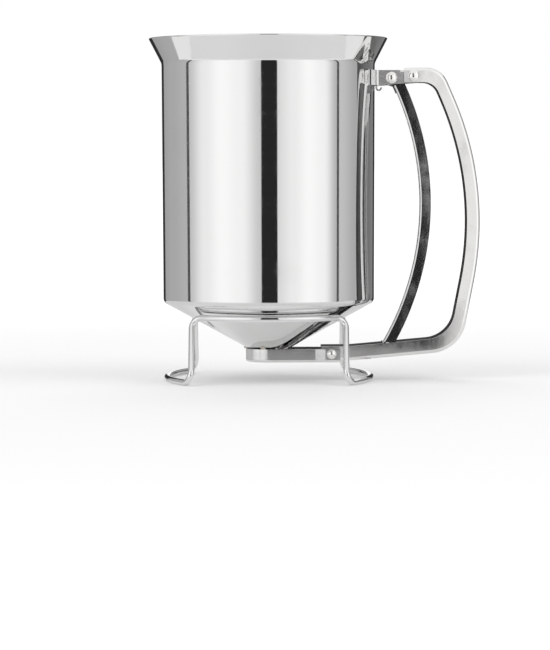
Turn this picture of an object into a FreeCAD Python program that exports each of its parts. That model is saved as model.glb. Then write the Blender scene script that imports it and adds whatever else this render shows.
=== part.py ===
"""Pancake batter dispenser on a wire stand, in millimetres.

A flared steel cup ends in a cone and a round spout. A shallow pan under the spout carries a
sliding gate. A trigger hangs inside a channel handle, pulls the gate by a cross pin and is
returned by a torsion spring. The dispenser rests by its cone on a bent wire stand.

Origin: centre of the outlet hole, on the underside of the valve pan. +Z is up and the handle
points along +X.
"""
import FreeCAD, Part
import math
import os

# Cup
wall_radius_bottom = 50.5
wall_radius_top = 51.0
wall_length = 113.9
shoulder_radius = 3.0
flare_height = 11.8
rim_radius = 57.1
flare_bend_radius = 4.5
cone_slope = 29.0
cup_sheet = 0.8

# Spout and valve pan
spout_bore_radius = 7.0
spout_wall = 1.2
pan_end_radius = 11.0
pan_height = 6.3
pan_sheet = 0.8
pan_bottom_bend = 1.2
pan_straight_end = 22.2
tongue_start = 27.0
tongue_end = 34.1
cone_above_pan = 0.6
pan_weld_radius = 1.3
spout_weld_leg = 1.1
weld_seat = 0.04

# Gate slide
gate_overlap = 1.3
gate_sheet = 1.0
gate_travel = 14.0
gate_arm_width = 9.0
gate_running_gap = 0.2
gate_joggle_length = 2.5
gate_hook_height = 3.0

# Handle
handle_width = 19.6
handle_sheet = 1.0
handle_bend = 1.6
handle_start = 25.0
lower_arm_bend_x = 39.0
lower_arm_rise = 5.06
lower_arm_depth = 6.8
lower_arm_bend_radius = 60.0
grip_reach = 106.9
grip_corner_inset = 15.4
grip_bow_height = 0.583
grip_depth_lower = 6.0
grip_depth_upper = 5.75
grip_bow_radius = 148.0
lower_corner_radius = 17.6
upper_corner_radius = 10.8
upper_corner_reach = 10.35
handle_top_drop = 14.25
upper_arm_start = 64.6
upper_arm_depth = 6.8

# Top bracket
bracket_sheet = 1.0
bracket_height = 7.2
bracket_end = 72.0
bracket_web_start = 62.8
bracket_taper = 1.5
bracket_bend = 1.9
web_corner_radius = 1.2
ear_length = 8.0
ear_gap = 0.12
ear_weld_radius = 1.0
tie_width = 0.9

# Trigger
trigger_side_room = 2.6
trigger_sheet = 0.8
trigger_depth = 5.4
trigger_bend = 1.2
trigger_bow = 15.1
trigger_top_offset_x = 1.0
trigger_top_drop = 4.0
trigger_foot_x = 54.1
trigger_foot_z = 9.2
trigger_web_top_drop = 7.4
pivot_x = 58.7
pivot_drop = 3.6
pivot_lug_radius = 3.5
pin_lug_radius = 2.5
foot_corner = 5.0
pin_x = 56.8
pin_radius = 1.2
pin_fit = 0.05

# Rivets
pivot_shank_radius = 1.9
rivet_head_radius = 2.75
rivet_head_height = 1.5
small_head_radius = 2.3
small_head_height = 1.3
rivet_shank_radius = 1.5
clinch_lip = 0.4
top_clinch_height = 0.25
bottom_clinch_height = 0.4
web_clear = 0.05
sleeve_wall = 0.5
top_rivet_x = 69.2
top_rivet_drop = 2.65
bottom_rivet_x = 30.0
bottom_rivet_z = 4.0

# Small allowances and shares
head_dome_share = 0.75
spout_play = 0.05
lip_round_share = 0.42
lug_margin = 1.0
pan_weld_reach = 2.5
gate_step_radius = 1.2
gate_arm_bend_radius = 20.0
gate_tail_bend_radius = 8.0
gate_hook_bend_radius = 0.9
gate_tab_margin = 1.0
mouth_run = 6.0
ear_weld_levels = (0.3, 0.7)
ear_weld_place = 0.6
ear_weld_depth = 1.5
washer_play = 0.05
sleeve_play = 0.1
pin_head_height = 0.7
pin_head_margin = 0.6

# Return spring
spring_wire = 0.8
spring_turns = 5
spring_pitch = 1.35
spring_leg_drop = 19.0
spring_hook_radius = 1.15
spring_hook_drop = 2.3
spring_wall_bend_radius = 1.4
spring_leg_slack = 0.4
coil_play = 0.15

# Stand
stand_wire = 2.9
stand_ring_z = 22.4
stand_arc_half_angle = 40.0
stand_leg_x = 36.25
stand_foot_y = 47.5
stand_foot_z = -7.15
stand_tip_x = 57.8
stand_tip_radius = 92.0
stand_corner_radius = 4.0
stand_weld_length = 1.6
stand_weld_height = 0.2
stand_weld_round = 0.18
stand_seat_gap = 0.3

# Running clearances
side_clear = 0.35
spring_clear = 0.3


def vec(x, y, z):
    return FreeCAD.Vector(x, y, z)


def rounded(points, closed=False):
    """Edges of a 3-D path: points are (vector, radius), runs are joined by tangent arcs."""
    count = len(points)
    runs = []
    arcs = []
    for i, (corner, radius) in enumerate(points):
        ends = not closed and i in (0, count - 1)
        if ends or radius <= 0:
            arcs.append((corner, None, corner))
            continue
        before = points[i - 1][0]
        after = points[(i + 1) % count][0]
        back = (before - corner).normalize()
        ahead = (after - corner).normalize()
        inner = back.getAngle(ahead)
        reach = radius / math.tan(inner / 2)
        middle = (back + ahead).normalize()
        depth = radius / math.sin(inner / 2) - radius
        arcs.append((corner + back * reach, corner + middle * depth, corner + ahead * reach))
    steps = count if closed else count - 1
    for i in range(count):
        start, middle, end = arcs[i]
        if middle is not None:
            runs.append(Part.Arc(start, middle, end).toShape())
        if i < steps:
            following = arcs[(i + 1) % count][0]
            if end.distanceToPoint(following) > 1e-6:
                runs.append(Part.LineSegment(end, following).toShape())
    return runs


def side_path(points):
    """Corner list (x, z, radius) as vectors in the XZ plane."""
    return [(vec(x, 0, z), radius) for x, z, radius in points]


def plan_path(points, z):
    return [(vec(x, y, z), radius) for x, y, radius in points]


def side_face(points):
    return Part.Face(Part.Wire(rounded(side_path(points), closed=True)))


def plan_face(points, z):
    return Part.Face(Part.Wire(rounded(plan_path(points, z), closed=True)))


def across(face, width, centre=0.0):
    """Extrude a side face along Y, centred on a plane."""
    moved = face.copy()
    moved.translate(vec(0, centre - width / 2, 0))
    return moved.extrude(vec(0, width, 0))


def cylinder_y(x, z, radius, start, end):
    return Part.makeCylinder(radius, end - start, vec(x, start, z), vec(0, 1, 0))


def offset_corners(points, distance):
    """Shift a rounded open corner list sideways, left of its direction for a positive value."""
    shifted = []
    count = len(points)
    lines = []
    for i in range(count - 1):
        ax, az, _ = points[i]
        bx, bz, _ = points[i + 1]
        length = math.hypot(bx - ax, bz - az)
        nx = -(bz - az) / length
        nz = (bx - ax) / length
        lines.append((ax + nx * distance, az + nz * distance, (bx - ax) / length, (bz - az) / length))
    for i in range(count):
        x, z, radius = points[i]
        if i == 0:
            shifted.append((lines[0][0], lines[0][1], 0))
            continue
        if i == count - 1:
            px, pz, dx, dz = lines[-1]
            ax, az, _ = points[i - 1]
            length = math.hypot(x - ax, z - az)
            shifted.append((px + dx * length, pz + dz * length, 0))
            continue
        ax, az, adx, adz = lines[i - 1]
        bx, bz, bdx, bdz = lines[i]
        cross = adx * bdz - adz * bdx
        along = ((bx - ax) * bdz - (bz - az) * bdx) / cross
        turn = 1 if cross > 0 else -1
        shifted.append((ax + adx * along, az + adz * along, radius - turn * distance))
    return shifted


def domed_head(x, z, face, height, radius, side):
    """Low domed rivet head on a side face at Y = face, pointing along side (+1 or -1)."""
    dome = head_dome_share * height
    ball = (radius * radius + dome * dome) / (2 * dome)
    head = Part.makeCylinder(radius, height).common(Part.makeSphere(ball, vec(0, 0, height - ball)))
    head.rotate(vec(0, 0, 0), vec(1, 0, 0), -90 * side)
    head.translate(vec(x, face, z))
    return head


def edges_along(shape, test):
    return [edge for edge in shape.Edges if test(edge)]


def save(name, shape):
    if isinstance(shape, list):
        shape = Part.makeCompound(shape)
    shape.exportStep("parts/" + name + ".step")
    solids = shape.Solids
    volume = sum(s.Volume for s in solids)
    print(name, len(solids), "solids", round(volume, 1), "mm3", "valid", shape.isValid())


# Levels worked out from the sizes above
cone_tangent = math.tan(math.radians(cone_slope))
pan_inner_radius = pan_end_radius - pan_sheet
spout_outer_radius = spout_bore_radius + spout_wall
cone_pan_z = pan_height + cone_above_pan
gate_bottom = pan_sheet + gate_running_gap
gate_top = gate_bottom + gate_sheet
spout_bottom = gate_top + gate_running_gap


def cone_outer_z(radius):
    """Height of the cone's outer surface at a radius."""
    return cone_pan_z + (radius - pan_end_radius) * cone_tangent


wall_bottom_z = cone_outer_z(wall_radius_bottom)
wall_top_z = wall_bottom_z + wall_length
rim_z = wall_top_z + flare_height
wall_lean = (wall_radius_top - wall_radius_bottom) / wall_length


def wall_radius_at(z):
    return wall_radius_bottom + (z - wall_bottom_z) * wall_lean


handle_top_z = rim_z - handle_top_drop
bracket_top_z = handle_top_z - handle_sheet
pivot_z = bracket_top_z - pivot_drop
bracket_bottom_z = bracket_top_z - bracket_height
bracket_half = handle_width / 2 - handle_sheet
bracket_inner_half = bracket_half - bracket_sheet
trigger_width = handle_width - 2 * trigger_side_room
tongue_half = handle_width / 2 + pan_sheet
arm_tangent = math.tan(math.radians(lower_arm_rise))
handle_floor = pan_sheet + handle_sheet


def handle_floor_z(x):
    """Inner floor of the lower arm at x."""
    return handle_floor + max(0.0, x - lower_arm_bend_x) * arm_tangent


arm_end_floor = handle_floor_z(pin_x + gate_travel + pin_radius + gate_sheet)
gate_tail_bottom = arm_end_floor + gate_running_gap
pin_z = gate_tail_bottom + gate_sheet + side_clear + pin_radius


def cup_outline(inset):
    """Rounded outline of the cup's outer surface, moved inwards by inset."""
    points = [
        (spout_outer_radius + spout_play, cone_outer_z(spout_outer_radius + spout_play), 0),
        (wall_radius_bottom, wall_bottom_z, shoulder_radius),
        (wall_radius_top, wall_top_z, flare_bend_radius),
        (rim_radius, rim_z, 0),
    ]
    return offset_corners(points, inset) if inset else points


def make_cup():
    outer = cup_outline(0)
    inner = cup_outline(cup_sheet)
    inner[0] = (outer[0][0], outer[0][1] + cup_sheet / math.cos(math.radians(cone_slope)), 0)
    face = side_face(outer + inner[::-1])
    cup = face.revolve(vec(0, 0, 0), vec(0, 0, 1), 360)
    lip = edges_along(cup, lambda e: e.BoundBox.ZMin > rim_z - 1.5 and e.BoundBox.ZLength < 0.01)
    return cup.makeFillet(lip_round_share * cup_sheet, lip)


def make_spout():
    """Turned tube in the cone's end, its top sloped to drain with the cone."""
    top_outer = cone_outer_z(spout_outer_radius) + cup_sheet / math.cos(math.radians(cone_slope))
    top_inner = top_outer - spout_wall * cone_tangent
    points = [
        (spout_bore_radius, spout_bottom, 0),
        (spout_outer_radius, spout_bottom, 0),
        (spout_outer_radius, top_outer, 0),
        (spout_bore_radius, top_inner, 0),
    ]
    return side_face(points).revolve(vec(0, 0, 0), vec(0, 0, 1), 360)


def make_spout_weld():
    """Weld ring in the corner between the cone and the spout tube."""
    inner = spout_outer_radius + weld_seat
    outer = inner + spout_weld_leg
    drop = weld_seat / math.cos(math.radians(cone_slope))
    points = [
        (inner, cone_outer_z(inner) - drop - spout_weld_leg, 0),
        (outer, cone_outer_z(outer) - drop, 0),
        (inner, cone_outer_z(inner) - drop, 0),
    ]
    return side_face(points).revolve(vec(0, 0, 0), vec(0, 0, 1), 360)


def pan_outline(inset, z, run_out=0.0):
    """Plan of the pan: round end about the spout, straight flanks, narrower tongue."""
    half = pan_end_radius - inset
    tongue = tongue_half - inset
    end = tongue_end + run_out
    edges = [
        Part.Arc(vec(0, half, z), vec(-half, 0, z), vec(0, -half, z)).toShape(),
        Part.LineSegment(vec(0, -half, z), vec(pan_straight_end, -half, z)).toShape(),
        Part.LineSegment(vec(pan_straight_end, -half, z), vec(tongue_start, -tongue, z)).toShape(),
        Part.LineSegment(vec(tongue_start, -tongue, z), vec(end, -tongue, z)).toShape(),
        Part.LineSegment(vec(end, -tongue, z), vec(end, tongue, z)).toShape(),
        Part.LineSegment(vec(end, tongue, z), vec(tongue_start, tongue, z)).toShape(),
        Part.LineSegment(vec(tongue_start, tongue, z), vec(pan_straight_end, half, z)).toShape(),
        Part.LineSegment(vec(pan_straight_end, half, z), vec(0, half, z)).toShape(),
    ]
    return Part.Face(Part.Wire(edges))


def make_pan():
    body = pan_outline(0, 0).extrude(vec(0, 0, pan_height))
    lug_radius = small_head_radius + lug_margin
    lug = cylinder_y(bottom_rivet_x, bottom_rivet_z, lug_radius, -tongue_half, tongue_half)
    body = body.fuse(lug).removeSplitter()
    rim = edges_along(body, lambda e: e.BoundBox.ZMax < 0.01 and e.BoundBox.XMin < tongue_end - 0.1)
    body = body.makeFillet(pan_bottom_bend, rim)
    pocket = pan_outline(pan_sheet, pan_sheet, 2.0).extrude(vec(0, 0, pan_height + 5))
    floor = edges_along(pocket, lambda e: e.BoundBox.ZMax < pan_sheet + 0.01
                        and e.BoundBox.XMin < tongue_end)
    pocket = pocket.makeFillet(pan_bottom_bend - pan_sheet, floor)
    body = body.cut(pocket)
    outlet = Part.makeCylinder(spout_bore_radius, 4, vec(0, 0, -1))
    body = body.cut(outlet)
    hole = cylinder_y(bottom_rivet_x, bottom_rivet_z, rivet_shank_radius + pin_fit, -30, 30)
    return body.cut(hole)


def make_pan_welds():
    """Three tack welds between the pan's rim and the cone."""
    cone = Part.makeCone(0.01, 60, 60 * cone_tangent, vec(0, 0, cone_outer_z(0)), vec(0, 0, 1))
    beads = []
    mid = pan_end_radius - pan_sheet / 2
    for angle in (105, 180, 255):
        x = mid * math.cos(math.radians(angle))
        y = mid * math.sin(math.radians(angle))
        bead = Part.makeCylinder(pan_weld_radius, pan_weld_reach, vec(x, y, pan_height))
        beads.append(bead.cut(cone))
    return beads


def make_gate():
    """Round blade, joggle, arm that follows the lower arm's floor, and a hook for the pin."""
    blade_radius = spout_bore_radius + gate_overlap
    arm_bottom = handle_floor + gate_running_gap
    step_x = blade_radius + gate_joggle_length
    bend_x = lower_arm_bend_x - gate_travel
    tail_x = pin_x + pin_radius + side_clear + gate_sheet
    half = gate_sheet / 2
    line = [
        (0.0, gate_bottom + half, 0),
        (blade_radius, gate_bottom + half, gate_step_radius),
        (step_x, arm_bottom + half, gate_step_radius),
        (bend_x, arm_bottom + half, gate_arm_bend_radius),
        (pin_x - pin_radius - side_clear - gate_sheet, gate_tail_bottom + half, gate_tail_bend_radius),
        (tail_x - half, gate_tail_bottom + half, gate_hook_bend_radius),
        (tail_x - half, gate_tail_bottom + gate_hook_height, 0),
    ]
    upper = offset_corners(line, half)
    lower = offset_corners(line, -half)
    arm = across(side_face(upper + lower[::-1]), gate_arm_width)
    blade = Part.makeCylinder(blade_radius, gate_sheet, vec(0, 0, gate_bottom))
    tab_x = pin_x - pin_radius - side_clear - gate_sheet
    tab = Part.makeBox(gate_sheet, gate_arm_width - 2 * gate_tab_margin, gate_hook_height - gate_sheet,
                       vec(tab_x, gate_tab_margin - gate_arm_width / 2, gate_tail_bottom + gate_sheet / 2))
    return arm.fuse(blade).fuse(tab).removeSplitter()


def handle_corners():
    """Outer corner points of the channel, from the tongue round the grip to the top arm."""
    low_x = grip_reach - grip_corner_inset
    low_z = pan_sheet + (low_x - lower_arm_bend_x) * arm_tangent
    bow_z = low_z + (handle_top_z - low_z) * grip_bow_height
    top_x = bracket_end + upper_corner_reach
    upper_lean = math.atan2(grip_reach - top_x, handle_top_z - bow_z)
    lower_lean = math.atan2(grip_corner_inset, bow_z - low_z)
    upper_turn = math.pi / 2 - upper_lean
    lower_turn = math.pi / 2 + lower_lean - math.atan(arm_tangent)
    upper_room = (math.hypot(grip_reach - top_x, handle_top_z - bow_z)
                  - (upper_corner_radius + grip_depth_upper) * math.tan(upper_turn / 2))
    lower_room = (math.hypot(grip_corner_inset, bow_z - low_z)
                  - (lower_corner_radius + grip_depth_lower) * math.tan(lower_turn / 2))
    widest_bow = min(upper_room, lower_room) / math.tan((upper_lean + lower_lean) / 2)
    return [
        (handle_start, pan_sheet, 0),
        (lower_arm_bend_x, pan_sheet, lower_arm_bend_radius),
        (low_x, low_z, lower_corner_radius),
        (grip_reach, bow_z, min(grip_bow_radius, widest_bow)),
        (top_x, handle_top_z, upper_corner_radius),
        (upper_arm_start, handle_top_z, 0),
    ]


def inner_corners(outer, depths):
    """Free edge of the flanges: each run moved inwards by its own depth."""
    lines = []
    for i, depth in enumerate(depths):
        ax, az, _ = outer[i]
        bx, bz, _ = outer[i + 1]
        length = math.hypot(bx - ax, bz - az)
        dx = (bx - ax) / length
        dz = (bz - az) / length
        lines.append((ax - dz * depth, az + dx * depth, dx, dz))
    result = [(outer[0][0], lines[0][1], 0)]
    for i in range(1, len(lines)):
        ax, az, adx, adz = lines[i - 1]
        bx, bz, bdx, bdz = lines[i]
        cross = adx * bdz - adz * bdx
        along = ((bx - ax) * bdz - (bz - az) * bdx) / cross
        depth = max(depths[i - 1], depths[i])
        radius = outer[i][2] - min(0.45 * depth, 0.4 * outer[i][2])
        result.append((ax + adx * along, az + adz * along, radius))
    result.append((outer[-1][0], lines[-1][1], 0))
    return result


def make_handle():
    outer = handle_corners()
    depths = [lower_arm_depth, lower_arm_depth, grip_depth_lower, grip_depth_upper, upper_arm_depth]
    inner = inner_corners(outer, depths)
    body = across(side_face(outer + inner[::-1]), handle_width)
    walls = offset_corners(outer, handle_sheet)
    mouth = inner_corners(outer, [depth + mouth_run for depth in depths])
    pocket_outer = [(walls[0][0] - 5, walls[0][1], 0)] + walls[1:-1]
    pocket_outer.append((walls[-1][0] - 5, walls[-1][1], 0))
    pocket_inner = [(mouth[0][0] - 5, mouth[0][1], 0)] + mouth[1:-1]
    pocket_inner.append((mouth[-1][0] - 5, mouth[-1][1], 0))
    pocket = across(side_face(pocket_outer + pocket_inner[::-1]), handle_width - 2 * handle_sheet)
    curve = Part.Wire(rounded(side_path(outer)))
    inner_curve = Part.Wire(rounded(side_path(pocket_outer)))
    body = body.makeFillet(handle_bend, on_curve(body, curve, handle_width / 2))
    pocket = pocket.makeFillet(handle_bend - handle_sheet,
                               on_curve(pocket, inner_curve, handle_width / 2 - handle_sheet))
    body = body.cut(pocket)
    top_hole = cylinder_y(top_rivet_x, bracket_top_z - top_rivet_drop,
                          rivet_shank_radius + pin_fit, -30, 30)
    low_hole = cylinder_y(bottom_rivet_x, bottom_rivet_z, rivet_shank_radius + pin_fit, -30, 30)
    return body.cut(top_hole).cut(low_hole)


def on_curve(shape, curve, half):
    """Edges of an extruded shape that run along a side curve at Y = +half or -half."""
    found = []
    for edge in shape.Edges:
        box = edge.BoundBox
        if abs(abs(box.YMin) - half) > 0.01 or abs(abs(box.YMax) - half) > 0.01 or box.YLength > 0.01:
            continue
        middle = edge.valueAt((edge.FirstParameter + edge.LastParameter) / 2)
        flat = vec(middle.x, 0, middle.z)
        if curve.distToShape(Part.Vertex(flat))[0] < 0.01:
            found.append(edge)
    return found


def bracket_side(sign):
    """Plan strip of one side: flange, bend and ear that lies on the cup's wall."""
    half = bracket_sheet / 2
    flange_y = bracket_half - half
    seat = wall_radius_at(pivot_z) + ear_gap + half
    start = math.asin(flange_y / seat)
    middle = start + (ear_length / 2) / seat
    tx = -math.sin(middle)
    ty = math.cos(middle)
    cx = seat * math.cos(middle)
    cy = seat * math.sin(middle)
    back = (flange_y - cy) / ty
    corner = (cx + tx * back, flange_y)
    tip = (corner[0] + tx * ear_length, corner[1] + ty * ear_length)
    line = [(bracket_end, flange_y, 0), (corner[0], corner[1], bracket_bend), (tip[0], tip[1], 0)]
    if sign < 0:
        line = [(x, -y, radius) for x, y, radius in line]
    left = offset_corners(line, half)
    right = offset_corners(line, -half)
    return plan_face(left + right[::-1], bracket_bottom_z).extrude(vec(0, 0, bracket_height)), tip, corner


def web_corner(sign):
    """What the outer bend takes off the long edge of the bracket's web."""
    y = sign * (bracket_half - web_corner_radius)
    z = bracket_top_z - web_corner_radius
    length = bracket_end - bracket_web_start + 1
    reach = 2 * web_corner_radius
    block = Part.makeBox(length, reach, reach, vec(bracket_web_start, min(y, y + sign * reach), z))
    return block.cut(Part.makeCylinder(web_corner_radius, length, vec(bracket_web_start, y, z), vec(1, 0, 0)))


def make_bracket():
    sides = []
    for sign in (1, -1):
        side, tip, corner = bracket_side(sign)
        sides.append(side)
    web = Part.makeBox(bracket_end - bracket_web_start, 2 * bracket_half, bracket_sheet,
                       vec(bracket_web_start, -bracket_half, bracket_top_z - bracket_sheet))
    tie_x = tie_left_x()
    tie = Part.makeBox(tie_width, 2 * bracket_half, tie_width,
                       vec(tie_x, -bracket_half, bracket_bottom_z - 0.1))
    body = web.fuse(sides).fuse(tie).removeSplitter()
    for sign in (1, -1):
        body = body.cut(web_corner(sign))
    under = side_face([
        (corner[0] + 2.0, bracket_bottom_z - 5, 0),
        (corner[0] + 2.0, bracket_bottom_z, 0),
        (bracket_end + 1, bracket_bottom_z + bracket_taper, 0),
        (bracket_end + 1, bracket_bottom_z - 5, 0),
    ])
    body = body.cut(across(under, 60))
    for x, z, radius in ((pivot_x, pivot_z, pivot_shank_radius),
                         (top_rivet_x, bracket_top_z - top_rivet_drop, rivet_shank_radius)):
        body = body.cut(cylinder_y(x, z, radius + pin_fit, -30, 30))
    return body


def tie_left_x():
    """Left face of the bracket's lower tie, inside the spring's hook."""
    hook_left = wall_radius_at(bracket_bottom_z) + spring_clear + spring_wire / 2
    return hook_left + spring_hook_radius - tie_width / 2


def make_bracket_welds():
    """Two spot welds under each ear, between the ear and the wall."""
    welds = []
    wall = Part.makeCone(wall_radius_at(bracket_bottom_z - 10), wall_radius_at(bracket_top_z + 10),
                         bracket_height + 20, vec(0, 0, bracket_bottom_z - 10))
    for sign in (1, -1):
        side, tip, corner = bracket_side(1)
        for drop in ear_weld_levels:
            x = corner[0] + (tip[0] - corner[0]) * ear_weld_place
            y = corner[1] + (tip[1] - corner[1]) * ear_weld_place
            radial = vec(x, y, 0).normalize()
            start = vec(x, y, 0) - radial * ear_weld_depth
            disc = Part.makeCylinder(ear_weld_radius, ear_weld_depth, vec(start.x, start.y, bracket_bottom_z
                                                   + bracket_height * drop), radial)
            disc = disc.cut(side).cut(wall)
            if sign < 0:
                disc = disc.mirror(vec(0, 0, 0), vec(0, 1, 0))
            pieces = [s for s in disc.Solids if s.Volume > 0.01]
            welds.extend(pieces)
    return welds


def trigger_arc(offset):
    """Side arc of the trigger, offset outwards from the web's outer face."""
    top = vec(pivot_x + trigger_top_offset_x, 0, pivot_z - trigger_top_drop)
    foot = vec(trigger_foot_x, 0, trigger_foot_z)
    chord = top - foot
    half = chord.Length / 2
    radius = half * half / (2 * trigger_bow) + trigger_bow / 2
    unit = vec(chord.x, 0, chord.z).normalize()
    outward = vec(unit.z, 0, -unit.x)
    middle = (top + foot) * 0.5 + outward * trigger_bow
    centre = middle - outward * radius
    points = []
    for point in (foot, middle, top):
        ray = (point - centre).normalize()
        points.append(centre + ray * (radius + offset))
    return points, centre, radius


def arc_band(low, high):
    inner, centre, radius = trigger_arc(low)
    outer, centre, radius = trigger_arc(high)
    edges = [
        Part.Arc(inner[0], inner[1], inner[2]).toShape(),
        Part.LineSegment(inner[2], outer[2]).toShape(),
        Part.Arc(outer[2], outer[1], outer[0]).toShape(),
        Part.LineSegment(outer[0], inner[0]).toShape(),
    ]
    return Part.Face(Part.Wire(edges))


def tangent_point(centre, radius, point, side):
    """Point of a circle where the line to an outside point touches it."""
    away = vec(point.x - centre[0], 0, point.z - centre[1])
    angle = math.atan2(away.z, away.x) + side * math.acos(radius / away.Length)
    return vec(centre[0] + radius * math.cos(angle), 0, centre[1] + radius * math.sin(angle))


def lug_plate(centre, radius, a, b, side):
    """Flat plate from a round lug to the two end corners of the flange."""
    corners = [
        vec(centre[0], 0, centre[1]),
        tangent_point(centre, radius, a, side),
        a,
        b,
        tangent_point(centre, radius, b, -side),
    ]
    return Part.Face(Part.makePolygon(corners + corners[:1]))


def make_trigger():
    body = across(arc_band(0, trigger_depth), trigger_width)
    inner_width = trigger_width - 2 * trigger_sheet
    outer_points, centre, radius = trigger_arc(0)
    curve = Part.Wire([Part.Arc(*outer_points).toShape()])
    body = body.makeFillet(trigger_bend, on_curve(body, curve, trigger_width / 2))
    far = trigger_arc(trigger_depth)[0]
    corner = far[0] + (far[0] - outer_points[0]).cross(vec(0, 1, 0)).normalize() * foot_corner
    corner.x += foot_corner * 0.35
    touch = tangent_point((pin_x, pin_z), pin_lug_radius, corner, -1)
    outside = vec(8, 0, -4)
    trim = Part.Face(Part.makePolygon([corner, touch, touch + outside, corner + outside, corner]))
    body = body.cut(across(trim, trigger_width + 2))
    top_plate = lug_plate((pivot_x, pivot_z), pivot_lug_radius, outer_points[2], far[2], -1)
    for side in (-1, 1):
        mid = side * (trigger_width - trigger_sheet) / 2
        body = body.fuse(across(top_plate, trigger_sheet, mid))
        for x, z, lug in ((pivot_x, pivot_z, pivot_lug_radius), (pin_x, pin_z, pin_lug_radius)):
            start = mid - trigger_sheet / 2
            body = body.fuse(cylinder_y(x, z, lug, start, start + trigger_sheet))
    pocket = across(arc_band(trigger_sheet, trigger_depth + 6), inner_width)
    pocket_curve = Part.Wire([Part.Arc(*trigger_arc(trigger_sheet)[0]).toShape()])
    pocket = pocket.makeFillet(trigger_bend - trigger_sheet,
                               on_curve(pocket, pocket_curve, inner_width / 2))
    body = body.cut(pocket)
    top_clear = Part.makeBox(40, inner_width, 40,
                             vec(pivot_x - 20, -inner_width / 2, pivot_z - trigger_web_top_drop))
    foot_clear = Part.makeBox(30, inner_width, 30,
                              vec(pin_x - 15, -inner_width / 2, trigger_foot_z + 0.6 - 30))
    body = body.cut(top_clear).cut(foot_clear)
    body = body.cut(cylinder_y(pivot_x, pivot_z, pivot_shank_radius + pin_fit, -30, 30))
    body = body.cut(cylinder_y(pin_x, pin_z, pin_radius + pin_fit, -30, 30))
    return body.removeSplitter()


def make_pivot_rivet():
    shank = cylinder_y(pivot_x, pivot_z, pivot_shank_radius, -bracket_half, bracket_half)
    for side in (-1, 1):
        shank = shank.fuse(domed_head(pivot_x, pivot_z, side * bracket_half, rivet_head_height,
                                      rivet_head_radius, side))
    return shank.removeSplitter()


def make_pivot_washers():
    washers = []
    inner = trigger_width / 2 + washer_play
    outer = bracket_inner_half - washer_play
    for side in (-1, 1):
        start = min(side * inner, side * outer)
        ring = cylinder_y(pivot_x, pivot_z, rivet_head_radius, start, start + outer - inner)
        hole = cylinder_y(pivot_x, pivot_z, pivot_shank_radius + pin_fit, -30, 30)
        washers.append(ring.cut(hole))
    return washers


def sleeve_radius():
    return pivot_shank_radius + pin_fit + sleeve_wall


def make_sleeve():
    half = trigger_width / 2 - trigger_sheet - sleeve_play
    tube = cylinder_y(pivot_x, pivot_z, sleeve_radius(), -half, half)
    return tube.cut(cylinder_y(pivot_x, pivot_z, pivot_shank_radius + pin_fit, -30, 30))


def coil_point(coil, angle, y):
    return vec(pivot_x + coil * math.cos(angle), y, pivot_z + coil * math.sin(angle))


def spring_wire_path():
    """One wire: curled end at the wall, run up the wall, coil on the sleeve, leg down the trigger."""
    half_wire = spring_wire / 2
    coil = sleeve_radius() + coil_play + half_wire
    start_y = -spring_turns * spring_pitch / 2
    hook_left = wall_radius_at(bracket_bottom_z) + spring_clear + half_wire
    hook_right = hook_left + 2 * spring_hook_radius
    hook_bottom = bracket_bottom_z - spring_hook_drop
    over = pivot_z + coil
    path = [
        (vec(hook_right, start_y, bracket_bottom_z - tie_width), 0),
        (vec(hook_right, start_y, hook_bottom), spring_hook_radius - 0.01),
        (vec(hook_left, start_y, hook_bottom), spring_hook_radius - 0.01),
        (vec(hook_left, start_y, over), spring_wall_bend_radius),
        (vec(pivot_x, start_y, over), 0),
    ]
    edges = rounded(path)
    arc, centre, radius = trigger_arc(trigger_sheet)
    target_z = pivot_z - spring_leg_drop
    face_x = centre.x + math.sqrt((radius + trigger_sheet) ** 2 - (target_z - centre.z) ** 2)
    target = vec(face_x + spring_clear + half_wire + spring_leg_slack, 0, target_z)
    down = target - vec(pivot_x, 0, pivot_z)
    leave = math.atan2(down.z, down.x) + math.acos(coil / down.Length)
    first = math.pi / 2
    total = first - leave + 2 * math.pi * (spring_turns - 1)
    steps = math.ceil(total / (math.pi / 2))
    rise = spring_turns * spring_pitch
    previous = coil_point(coil, first, start_y)
    for i in range(steps):
        a = first - total * i / steps
        b = first - total * (i + 1) / steps
        ya = start_y + rise * i / steps
        yb = start_y + rise * (i + 1) / steps
        middle = coil_point(coil, (a + b) / 2, (ya + yb) / 2)
        end = coil_point(coil, b, yb)
        edges.append(Part.Arc(previous, middle, end).toShape())
        previous = end
    finish = vec(target.x, previous.y, target.z)
    edges.append(Part.LineSegment(previous, finish).toShape())
    return Part.Wire(edges)


def make_return_spring():
    path = spring_wire_path()
    first = path.Edges[0]
    start = first.valueAt(first.FirstParameter)
    circle = Part.Circle(start, first.tangentAt(first.FirstParameter), spring_wire / 2)
    section = Part.Wire([circle.toShape()])
    tube = path.makePipeShell([section], True, False)
    report_spring_gap(path)
    return tube


def report_spring_gap(path):
    """Print the least gap of the spring wire to itself, measured on points."""
    points = []
    travelled = 0.0
    last = None
    for edge in path.Edges:
        for point in edge.discretize(12):
            if last is not None:
                travelled += point.distanceToPoint(last)
            last = point
            points.append((travelled, point))
    least = 1e9
    for i, (at, point) in enumerate(points):
        for other_at, other in points[i + 1:]:
            if other_at - at > 3.5 * spring_wire:
                least = min(least, point.distanceToPoint(other))
    print("spring gap to itself", round(least - spring_wire, 3), "length", round(travelled, 1))


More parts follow.
